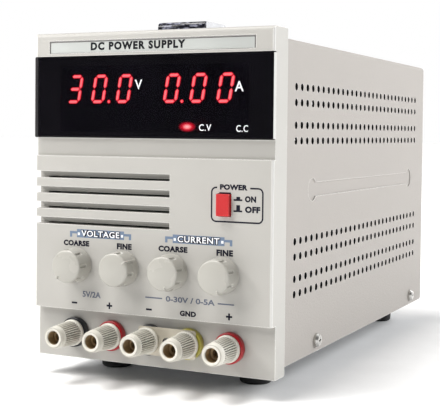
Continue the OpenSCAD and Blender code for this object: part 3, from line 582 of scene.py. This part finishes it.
def dress_nodes(m):
    """Every node that keeps its CAD shape, with its material and how far its edges are rounded."""
    for node, material, soften in (
            ("front_bezel", "panel", 0), ("display_window", "window", 0.25), ("name_plate", "plate", 0),
            ("case_cover", "cover", 0), ("base_chassis", "tray", 0), ("rear_panel", "paint", 0),
            ("case_screws", "screw", 0), ("rubber_feet", "rubber", 0), ("foot_screws", "screw", 0),
            ("handle_ends", "handle", 0.8), ("handle_screws", "screw", 0),
            ("pot_bodies", "pot", 0), ("pot_nuts", "screw", 0), ("power_button", "button", 0.7),
            ("switch_plunger", "plunger", 0), ("switch_body", "switch", 0), ("display_board", "board", 0),
            ("digit_modules", "digit", 0), ("cv_led", "lamp_dark", 0), ("cc_led", "lamp_dark", 0),
            ("post_studs", "lining", 0), ("collars_black", "collar_black", 0.5),
            ("collars_red", "collar_red", 0.5), ("collar_yellow", "collar_yellow", 0.5),
            ("post_nuts", "screw", 0), ("ground_link", "link", 0.15),
            ("transformer_core", "core", 0), ("transformer_windings", "winding", 0),
            ("main_board", "board", 0), ("filter_capacitors", "sleeve", 0), ("heatsinks", "sink", 0),
            ("power_transistors", "package", 0), ("fan_frame", "fan", 0.4), ("fan_screws", "screw", 0),
            ("inlet_body", "inlet", 0.35), ("inlet_pins", "nickel", 0.3), ("fuse_drawer", "inlet", 0.25)):
        dress(node, m[material], soften)
    for name in KNOB_POINTERS:
        dress("shaft_" + name, m["alloy"])
    for i in range(1, len(POSTS) + 1):
        dress(f"insert_{i}", m["lining"])


# ---- new pieces ----

def piece(name, verts, faces, material, body=None, angle=35):
    """A mesh from points in metres. With a body it rides on it."""
    mesh = bpy.data.meshes.new(name)
    mesh.from_pydata([tuple(v) for v in verts], [], faces)
    bm = bmesh.new()
    bm.from_mesh(mesh)
    bmesh.ops.remove_doubles(bm, verts=bm.verts, dist=0.001 * MM)
    bmesh.ops.recalc_face_normals(bm, faces=bm.faces)
    bm.to_mesh(mesh)
    bm.free()
    mesh.materials.append(material)
    mesh.shade_smooth()
    mesh.set_sharp_from_angle(angle=math.radians(angle))
    obj = bpy.data.objects.new(name, mesh)
    bpy.context.scene.collection.objects.link(obj)
    if body:
        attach(obj, body)
    return obj


class Parts:
    """Points and faces of several shapes that make one piece."""

    def __init__(self):
        self.verts, self.faces = [], []

    def add(self, verts, faces):
        start = len(self.verts)
        self.verts += verts
        self.faces += [tuple(i + start for i in f) for f in faces]


def turned(x, z, profile, steps, shape=None, loop=False):
    """A shape turned about an axis along Y. profile holds [radius, depth]; shape may change the radius
    at an angle, in degrees clockwise from straight up, and a depth."""
    verts, rings = [], []
    for radius, depth in profile:
        if radius == 0:
            rings.append([len(verts)])
            verts.append(place(x, depth, z))
            continue
        rings.append(list(range(len(verts), len(verts) + steps)))
        for k in range(steps):
            degrees = 360 * k / steps
            r = shape(degrees, depth, radius) if shape else radius
            a = math.radians(degrees)
            verts.append(place(x + r * math.sin(a), depth, z + r * math.cos(a)))
    faces = []
    pairs = list(zip(rings, rings[1:])) + ([(rings[-1], rings[0])] if loop else [])
    for near, far in pairs:
        for k in range(steps):
            n = (k + 1) % steps
            if len(near) == 1:
                faces.append((near[0], far[k], far[n]))
            elif len(far) == 1:
                faces.append((near[k], far[0], near[n]))
            else:
                faces.append((near[k], far[k], far[n], near[n]))
    return verts, faces


def loft(rings):
    """A closed solid through rings of points, with its two ends filled."""
    count = len(rings[0])
    verts = [v for ring in rings for v in ring]
    faces = [tuple(range(count))[::-1], tuple(range(len(verts) - count, len(verts)))]
    for i in range(len(rings) - 1):
        for k in range(count):
            n = (k + 1) % count
            faces.append((i * count + k, i * count + n, (i + 1) * count + n, (i + 1) * count + k))
    return verts, faces


def slab(outline, front, back):
    """An outline in X and Z, in millimetres, made solid between two depths."""
    return loft([[place(x, depth, z) for x, z in outline] for depth in (front, back)])


def plate(x0, x1, z0, z1, front, back):
    """A block between two places across, two heights and two depths, in millimetres."""
    return slab([(x0, z0), (x1, z0), (x1, z1), (x0, z1)], front, back)


# ---- knobs ----

# where each pointer stands, in degrees clockwise from straight up
KNOB_POINTERS = {"voltage_coarse": 221, "voltage_fine": 58, "current_coarse": 165, "current_fine": 160}
KNOB_BASE_R = 8.7
NOTCH_PITCH, NOTCH_DEPTH, NOTCH_HALF_WIDTH = 45, 0.7, 0.8


def degrees_between(a, b):
    """The turn from b to a, the shorter way round."""
    return (a - b + 180) % 360 - 180


def fade(value, start, end, width):
    """1 between start and end, falling to 0 over width outside them."""
    outside = max(start - value, value - end, 0)
    return max(0, 1 - outside / width)


def knob_profile(reach):
    """From the middle of the crowned face, round its corner, back to the skirt and in to the shaft."""
    face_r, corner, dome = KNOB_BASE_R - 0.65, 1.05, 0.6
    dome_r, rim = face_r - corner, -reach + dome
    points = [[dome_r * k / 8, -reach + dome * (k / 8) ** 2] for k in range(9)]
    for k in range(1, 7):
        a = math.radians(15 * k)
        points.append([dome_r + corner * math.sin(a), rim + corner - corner * math.cos(a)])
    side_start = rim + corner
    for k in range(1, 25):
        share = k / 24
        points.append([face_r + 0.6 * share, side_start + (-0.65 - side_start) * share])
    skirt_r, shaft_r = 7.1, 3.03
    points += [[KNOB_BASE_R, -0.45], [KNOB_BASE_R - 0.15, -0.4], [skirt_r, -0.4], [skirt_r, -3.4],
               [shaft_r, -3.4], [shaft_r, -reach + 1.6], [0, -reach + 1.6]]
    return points


def pointer_ridge(x, z, pointer, reach):
    """A round-backed ridge that runs from the edge of a knob's face down its side."""
    a = math.radians(pointer)
    out, across = Vector((math.sin(a), 0, math.cos(a))), Vector((math.cos(a), 0, -math.sin(a)))
    # distance from the axis, depth behind the knob's front and half thickness
    path = [(6.1, 0.75, 0.1), (6.5, 0.4, 0.45), (7.1, 0.35, 0.5), (7.6, 0.6, 0.52), (7.95, 1.1, 0.52),
            (8.1, 2.0, 0.5), (8.25, 4.5, 0.48), (8.4, 7.6, 0.44), (8.5, 9.0, 0.4), (8.3, 9.5, 0.1)]
    rings = []
    for i, (r, back, thick) in enumerate(path):
        before, after = path[max(0, i - 1)], path[min(len(path) - 1, i + 1)]
        run = Vector((after[0] - before[0], after[1] - before[1])).normalized()
        ring = []
        for k in range(12):
            t = math.radians(30 * k)
            lift = math.cos(t) * thick
            point = out * (r + run.y * lift) + across * (math.sin(t) * thick)
            ring.append(place(x + point.x, -reach + back - run.x * lift, z + point.z))
        rings.append(ring)
    return loft(rings)


def make_knobs(m):
    """The four knobs, notched all round except at the pointer."""
    for name, pointer in KNOB_POINTERS.items():
        node = "knob_" + name
        x, z = centre_of("shaft_" + name)
        reach = -depth_of(node)[0]

        def notches(degrees, depth, radius, pointer=pointer, reach=reach):
            if radius < 6.9 or abs(degrees_between(degrees, pointer)) < 20:
                return radius
            off = (degrees - pointer + NOTCH_PITCH / 2) % NOTCH_PITCH - NOTCH_PITCH / 2
            across = math.radians(off) * radius / NOTCH_HALF_WIDTH
            cut = NOTCH_DEPTH * math.sqrt(max(0, 1 - across * across))
            return radius - cut * fade(depth, -reach + 1.9, -5.0, 0.5)

        parts = Parts()
        parts.add(*turned(x, z, knob_profile(reach), 288, notches))
        parts.add(*pointer_ridge(x, z, pointer, reach))
        obj = piece("knob_" + name + "_cap", parts.verts, parts.faces, m["knob"], name + "_control",
                    40)
        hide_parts(node)


# ---- binding posts ----

POSTS = ("aux_minus", "aux_plus", "minus", "ground", "plus")
RIB_COUNT, RIB_DEPTH = 32, 0.7


def cap_profile(front, back):
    """From the bore, round the flange and forward along the ribs to the smooth front and its hole."""
    points = [[4.05, back], [6.2, back], [6.42, back - 0.1], [6.5, back - 0.35], [6.5, back - 1.3],
              [6.4, back - 1.55], [6.08, back - 1.75], [6.05, back - 2.0]]
    start, end = back - CAP_RIBS_TO, front + CAP_RIBS_FROM
    for k in range(13):
        share = k / 12
        points.append([CAP_RIB_R - CAP_TAPER * share, start + (end - start) * share])
    points += [[5.25, front + 2.9], [5.17, front + 1.5]]
    round_r = 0.62
    for k in range(7):
        a = math.radians(15 * k)
        points.append([4.5 + round_r * math.cos(a), front + round_r - round_r * math.sin(a)])
    points += [[4.0, front], [3.62, front + 0.05], [3.42, front + 0.2], [3.35, front + 0.4],
               [3.35, front + 0.8], [4.05, front + 0.8]]
    return points


def make_caps(m):
    """The five post caps with their ribs."""
    for i, name in enumerate(POSTS, 1):
        node = f"cap_{i}"
        x, z = centre_of(node)
        front, back = depth_of(node)

        def ribs(degrees, depth, radius, front=front, back=back):
            if radius < 5 or not front + 3.0 < depth < back - 2.0:
                return radius
            phase = 0.5 - 0.5 * math.cos(math.radians(degrees) * RIB_COUNT)
            return radius - RIB_DEPTH * phase ** 2 * fade(depth, front + 3.7, back - 2.3, 0.4)

        verts, faces = turned(x, z, cap_profile(front, back), RIB_COUNT * 8, ribs, loop=True)
        obj = piece(node + "_ribbed", verts, faces, m["cap"], name + "_cap", 50)
        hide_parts(node)


# ---- display ----

def make_digits(m):
    """The lit bars with a paler core, made from the CAD bars."""
    bm = bmesh.new()
    bm.from_mesh(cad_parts["lit_segments"].data)
    bmesh.ops.remove_doubles(bm, verts=bm.verts, dist=0.002 * MM)
    bmesh.ops.dissolve_limit(bm, angle_limit=math.radians(1), verts=bm.verts, edges=bm.edges)
    fronts = [f for f in bm.faces if f.normal.y < -0.9]
    bmesh.ops.inset_individual(bm, faces=fronts, thickness=0.36 * MM, depth=0)
    for f in bm.faces:
        f.material_index = 1 if f in fronts else 0
    mesh = bpy.data.meshes.new("digit_bars")
    bm.to_mesh(mesh)
    bm.free()
    mesh.materials.append(m["bar_rim"])
    mesh.materials.append(m["bar_core"])
    obj = bpy.data.objects.new("digit_bars", mesh)
    bpy.context.scene.collection.objects.link(obj)
    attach(obj, "case")
    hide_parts("lit_segments")


def make_lamp(m):
    """The lit diffuser in front of the constant-voltage lamp."""
    x, z, half_w, half_h = LAMP
    rim = [(x + half_w * math.cos(math.radians(10 * k)), z + half_h * math.sin(math.radians(10 * k)))
           for k in range(36)]
    front = depth_of("cv_led")[0]
    verts, faces = slab(rim, front - 0.12, front - 0.02)
    piece("lamp_diffuser", verts, faces, m["lamp_lit"], "case")


def make_slot_shade_sheet(m):
    """A dark sheet that lines the back of the front panel behind its slots: painted shade that keeps them
    dark.
    """
    left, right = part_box("front_bezel")[0].x / MM + 22, centre_of("switch_body")[0] - 19
    knobs_z = centre_of("knob_voltage_coarse")[1]
    low, high = knobs_z + 13, knobs_z + 49
    back, thick = depth_of("base_chassis")[0], 0.3
    # painted shade behind the slots
    verts, faces = plate(left, right, low, high, back - thick, back)
    piece("slot_shade_sheet", verts, faces, m["mask"], "case")


def make_window_mask(m):
    """The black print round the clear part of the window, on its back face."""
    lo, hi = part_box("display_window")
    x0, x1, z0, z1 = (v / MM for v in (lo.x, hi.x, lo.z, hi.z))
    back = depth_of("display_window")[1]
    side, low, high, margin = 13.5, 3, 5, 1
    parts = Parts()
    for left, right, bottom, top in ((x0 + margin, x0 + side, z0 + margin, z1 - margin),
                                     (x1 - side, x1 - margin, z0 + margin, z1 - margin),
                                     (x0 + side, x1 - side, z0 + margin, z0 + low),
                                     (x0 + side, x1 - side, z1 - high, z1 - margin)):
        parts.add(*plate(left, right, bottom, top, back - 0.06, back - 0.02))
    piece("window_mask", parts.verts, parts.faces, m["mask"], "case")


# ---- printed legends ----

INK = 0.03  # how thick the print is


def bar(x0, x1, z0, z1, face):
    """A printed rectangle on a face at that depth."""
    return plate(x0, x1, z0, z1, face - INK, face)


def lettering(text, x0, x1, z0, z1, face, weight=0.03, spacing=1.0):
    """The text as thin solid letters that fill the stated box on a face at that depth."""
    curve = bpy.data.curves.new("letters", "FONT")
    curve.body = text
    curve.offset = weight
    curve.space_character = spacing
    curve.extrude = 0.5
    curve.resolution_u = 3
    holder = bpy.data.objects.new("letters", curve)
    bpy.context.scene.collection.objects.link(holder)
    mesh = holder.to_mesh()
    points = [v.co.copy() for v in mesh.vertices]
    faces = [tuple(p.vertices) for p in mesh.polygons]
    holder.to_mesh_clear()
    bpy.data.objects.remove(holder)
    bpy.data.curves.remove(curve)
    left, right = min(p.x for p in points), max(p.x for p in points)
    low, high = min(p.y for p in points), max(p.y for p in points)
    verts = []
    for p in points:
        x = x0 + (p.x - left) / (right - left) * (x1 - x0)
        z = z0 + (p.y - low) / (high - low) * (z1 - z0)
        verts.append(place(x, face - (INK if p.z > 0 else 0), z))
    return verts, faces


def rounded_path(x0, x1, z0, z1, r, gap):
    """Points round a rectangle with round corners, open at its top between the two ends of gap."""
    points = [(gap[1], z1)]
    corners = ((x1 - r, z1 - r, 90), (x1 - r, z0 + r, 0), (x0 + r, z0 + r, -90), (x0 + r, z1 - r, -180))
    for cx, cz, start in corners:
        for k in range(7):
            a = math.radians(start - 15 * k)
            points.append((cx + r * math.cos(a), cz + r * math.sin(a)))
    return points + [(gap[0], z1)]


def line_along(points, width, face):
    """A printed line of even width along points in X and Z."""
    left, right = [], []
    for i, (x, z) in enumerate(points):
        ax, az = points[max(0, i - 1)]
        bx, bz = points[min(len(points) - 1, i + 1)]
        length = math.hypot(bx - ax, bz - az)
        nx, nz = -(bz - az) / length * width / 2, (bx - ax) / length * width / 2
        left.append((x + nx, z + nz))
        right.append((x - nx, z - nz))
    rings = []
    for l, r in zip(left, right):
        rings.append([place(l[0], face, l[1]), place(l[0], face - INK, l[1]),
                      place(r[0], face - INK, r[1]), place(r[0], face, r[1])])
    return loft(rings)


def make_legends(m):
    """The panel's printed words and lines, and a painted shadow over the power button. Each stands between
    two places across and two heights.
    """
    navy, grey, blue, white = Parts(), Parts(), Parts(), Parts()
    for text, x0, x1, z0, z1 in (
            ("POWER", 38.3, 52.3, 96.9, 99.5),
            ("ON", 51.0, 56.6, 91.5, 94.4), ("OFF", 51.1, 58.7, 86.7, 89.7),
            ("COARSE", -47.7, -32.7, 66.6, 69.4), ("COARSE", 6.1, 21.7, 66.6, 69.4),
            ("FINE", -16.9, -8.6, 66.3, 69.2), ("FINE", 36.8, 45.3, 66.3, 69.2),
            ("GND", 17.9, 26.5, 36.7, 39.3)):
        navy.add(*lettering(text, x0, x1, z0, z1, 0, 0.06, 1.08))
    navy.add(*line_along(rounded_path(34.1, 59.9, 82.2, 97.9, 2.2, (36.9, 53.6)), 0.75, 0))
    x, z = centre_of("power_button")
    # a painted shadow over the button, laid in the navy print
    shadow_low, shadow_high = z + 5.15, z + 5.85  # where the gap over the button lies
    navy.add(*bar(x - 2.6, x + 3.3, shadow_low, shadow_high, 0))
    for base, top in ((92.0, 93.9), (86.9, 90.1)):
        navy.add(*bar(45.3, 49.7, base, base + 0.8, 0))
        navy.add(*bar(46.7, 48.6, base + 0.8, top, 0))
    for x, crossed in ((-41.1, False), (-20.9, True), (1.2, False), (43.6, True)):
        navy.add(*bar(x - 1.6, x + 1.6, 37.95, 38.85, 0))
        if crossed:
            navy.add(*bar(x - 0.45, x + 0.45, 36.8, 37.95, 0))
            navy.add(*bar(x - 0.45, x + 0.45, 38.85, 40.0, 0))
    grey.add(*lettering("5V/2A", -36.4, -25.9, 41.6, 44.6, 0, 0.03))
    grey.add(*lettering("0-30V / 0-5A", 10.3, 36.2, 42.9, 45.6, 0, 0.03))
    grey.add(*bar(-0.8, 8.4, 43.85, 44.5, 0))
    grey.add(*bar(37.7, 46.1, 43.7, 44.35, 0))
    for text, x0, x1 in (("VOLTAGE", -39.9, -12.9), ("CURRENT", 13.8, 40.9)):
        blue.add(*bar(x0, x1, 70.9, 75.0, 0))
        for inner, outer in ((x0, x0 - 4.1), (x1, x1 + 4.0)):
            near, far = sorted((inner, outer))
            blue.add(*bar(near, far, 72.7, 73.9, 0))
            leg = sorted((outer, outer + (1.3 if outer < inner else -1.3)))
            blue.add(*bar(*leg, 71.0, 72.7, 0))
            dot = sorted((inner + (0.5 if outer < inner else -0.5), inner + (1.7 if outer < inner else -1.7)))
            white.add(*bar(*dot, 72.0, 73.3, -INK))
        navy.add(*lettering(text, x0 + 2.2, x1 - 2.2, 71.2, 74.8, -INK, 0.13, 1.1))
        white.add(*lettering(text, x0 + 2.6, x1 - 2.6, 71.5, 74.5, -2 * INK, 0.02, 1.1))
    for name, parts, ink in (("legends_navy_and_button_shadow", navy, "ink_navy"), ("legends_grey", grey, "ink_grey"),
                             ("legend_bands", blue, "ink_blue"), ("legends_on_bands", white, "ink_white")):
        piece(name, parts.verts, parts.faces, m[ink], "case")


def make_window_legends(m):
    """The print on the display window and on the name strip, and the painted shadow of the strip's pocket."""
    face = depth_of("display_window")[0]
    white = Parts()
    for text, x0, x1, z0, z1 in (("V", -7.2, -3.2, 143.5, 148.1), ("A", 45.6, 50.0, 142.1, 146.8),
                                 ("C.V", 27.4, 33.7, 123.9, 127.0), ("C.C", 46.5, 52.4, 123.6, 126.7)):
        white.add(*lettering(text, x0, x1, z0, z1, face, 0.008, 1.1))
    piece("window_legends", white.verts, white.faces, m["ink_white"], "case")
    face = depth_of("name_plate")[0]
    verts, faces = lettering("DC POWER SUPPLY", -32.8, 19.5, 162.7, 166.7, face, 0.055, 1.22)
    piece("plate_title", verts, faces, m["ink_black"], "case")
    lo, hi = (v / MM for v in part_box("name_plate"))
    # painted shadow of the name strip's pocket: dark lines along its top and right and a thin one on its left
    inset, line, thin = 0.1, 0.35, 0.2
    below = hi.z - inset - line
    pocket_shadow = Parts()
    pocket_shadow.add(*bar(lo.x + inset, hi.x - inset, below, hi.z - inset, face))
    pocket_shadow.add(*bar(hi.x - inset - line, hi.x - inset, lo.z + inset, below, face))
    pocket_shadow.add(*bar(lo.x + inset, lo.x + inset + thin, lo.z + inset, below, face))
    piece("plate_pocket_shadow", pocket_shadow.verts, pocket_shadow.faces, m["painted_pocket_shadow"], "case")


# ---- carry strap ----

def strap_outline(width, low, high):
    """The strap's section: soft edges and two pressed lines along its top."""
    r, dip = 1.55, 0.3
    points = []
    for cx, cz, start in ((width / 2 - r, low + r, -90), (width / 2 - r, high - r, 0)):
        for k in range(7):
            a = math.radians(start + 15 * k)
            points.append((cx + r * math.cos(a), cz + r * math.sin(a)))
    for x in (8.9, 8.6, 8.1, 7.8, 4, 0, -4, -7.8, -8.1, -8.6, -8.9):
        points.append((x, high - (dip if 8 < abs(x) < 8.7 else 0)))
    return points + [(-x, z) for x, z in reversed(points[:14])]


def make_strap(m):
    """The strap in two straight halves, each running from its end to the middle."""
    lo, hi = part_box("handle_strap")
    ends = depth_of("strap_ends")
    middle = (ends[0] + ends[1]) / 2
    mouth, bend, steps = depth_of("handle_ends")[0] + 25, 42, 50
    outline = strap_outline((hi.x - lo.x) / MM, lo.z / MM, hi.z / MM)
    for name, outer, sign in (("strap_front", ends[0], 1), ("strap_rear", ends[1], -1)):
        run = (middle - outer) * sign
        rings = [[place(x, outer + sign * run * k / steps, z) for x, z in outline] for k in range(steps + 1)]
        verts, faces = loft(rings)
        obj = piece(name, verts, faces, m["vinyl"], None, 40)
        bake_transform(obj)
        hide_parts("strap_ends", "handle_strap")


# ---- fan ----

def blade_rings(turn, middle):
    """A twisted, cambered blade as sections from the hub outwards: across, depth and up."""
    root_r, span = 14.4, 22.2
    rings = []
    for k in range(9):
        share = k / 8
        r = root_r + span * share
        half, pitch = 8.6 + 2.2 * share, math.radians(50 - 16 * share)
        sweep = math.radians(turn + 14 * share * share)
        ring = []
        for face in (1, -1):
            for j in range(9):
                t = (j / 4 - 1) * face
                thick = 0.25 + 0.55 * (1 - t * t)
                bow = 1.3 * (1 - t * t) + face * thick
                along = t * half * math.cos(pitch) - bow * math.sin(pitch)
                axial = t * half * math.sin(pitch) + bow * math.cos(pitch)
                a = sweep + along / r
                ring.append((r * math.sin(a), middle + axial, r * math.cos(a)))
        rings.append(ring)
    return rings


def make_rotor(m):
    """The hub and its blades."""
    x, z = centre_of("fan_rotor")
    front, blades = depth_of("fan_rotor")[0], 7
    back = front + 18.5
    hub = [[0, front], [5, front], [5.4, front + 0.4], [11, front + 0.4], [13.6, front + 0.6],
           [14.6, front + 1.2], [15, front + 2.2], [15, back], [13, back], [13, front + 2.2],
           [0, front + 2.2]]
    parts = Parts()
    parts.add(*turned(x, z, hub, 96))
    for i in range(blades):
        rings = blade_rings(i * 360 / blades, (front + back) / 2)
        parts.add(*loft([[place(x + a, d, z + c) for a, d, c in ring] for ring in rings]))
    obj = piece("fan_blades", parts.verts, parts.faces, m["fan"], "fan", 40)
    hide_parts("fan_rotor")


def wire_ring(x, z, radius, wire, depth):
    """A ring of round wire about an axis along Y."""
    profile = [[radius + wire * math.cos(math.radians(30 * k)), depth + wire * math.sin(math.radians(30 * k))]
               for k in range(12)]
    return turned(x, z, profile, 96, loop=True)


def wire_rod(start, end, wire):
    """A straight round wire between two points in millimetres: across, depth and up."""
    a, b = Vector(start), Vector(end)
    along = (b - a).normalized()
    first = along.cross(Vector((0, 1, 0))).normalized()
    second = along.cross(first)
    rings = []
    for p in (a, b):
        ring = []
        for k in range(12):
            t = math.radians(30 * k)
            ring.append(place(*(p + (first * math.cos(t) + second * math.sin(t)) * wire)))
        rings.append(ring)
    return loft(rings)


def make_guard(m):
    """Four rings on two crossed arms, whose ends curl round the fan's screws."""
    x, z = centre_of("fan_guard")
    back = depth_of("rear_panel")[1]
    ring, ring_depth = 0.9, back + 1.75  # the wire's half thickness and where it runs
    arm, arm_depth = 0.75, back + 0.78
    parts = Parts()
    for radius in (9, 18, 27, 36):
        parts.add(*wire_ring(x, z, radius, ring, ring_depth))
    screw, eye_r = 71.5 / 2, 2.7
    end = screw - 1.9
    for sx in (-1, 1):
        parts.add(*wire_rod((x - sx * end, arm_depth, z - end), (x + sx * end, arm_depth, z + end), arm))
        for sz in (-1, 1):
            parts.add(*wire_ring(x + sx * screw, z + sz * screw, eye_r, arm, arm_depth))
    obj = piece("fan_guard_wires", parts.verts, parts.faces, m["wire"], "case", 50)
    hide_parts("fan_guard")


# ---- the scene ----

make_camera()
materials = make_materials()
make_floor()
make_world()
make_lights()
dress_nodes(materials)
make_knobs(materials)
make_caps(materials)
make_digits(materials)
make_lamp(materials)
make_window_mask(materials)
make_slot_shade_sheet(materials)
make_legends(materials)
make_window_legends(materials)
make_strap(materials)
make_rotor(materials)
make_guard(materials)
bpy.context.scene.view_settings.view_transform = "Standard"
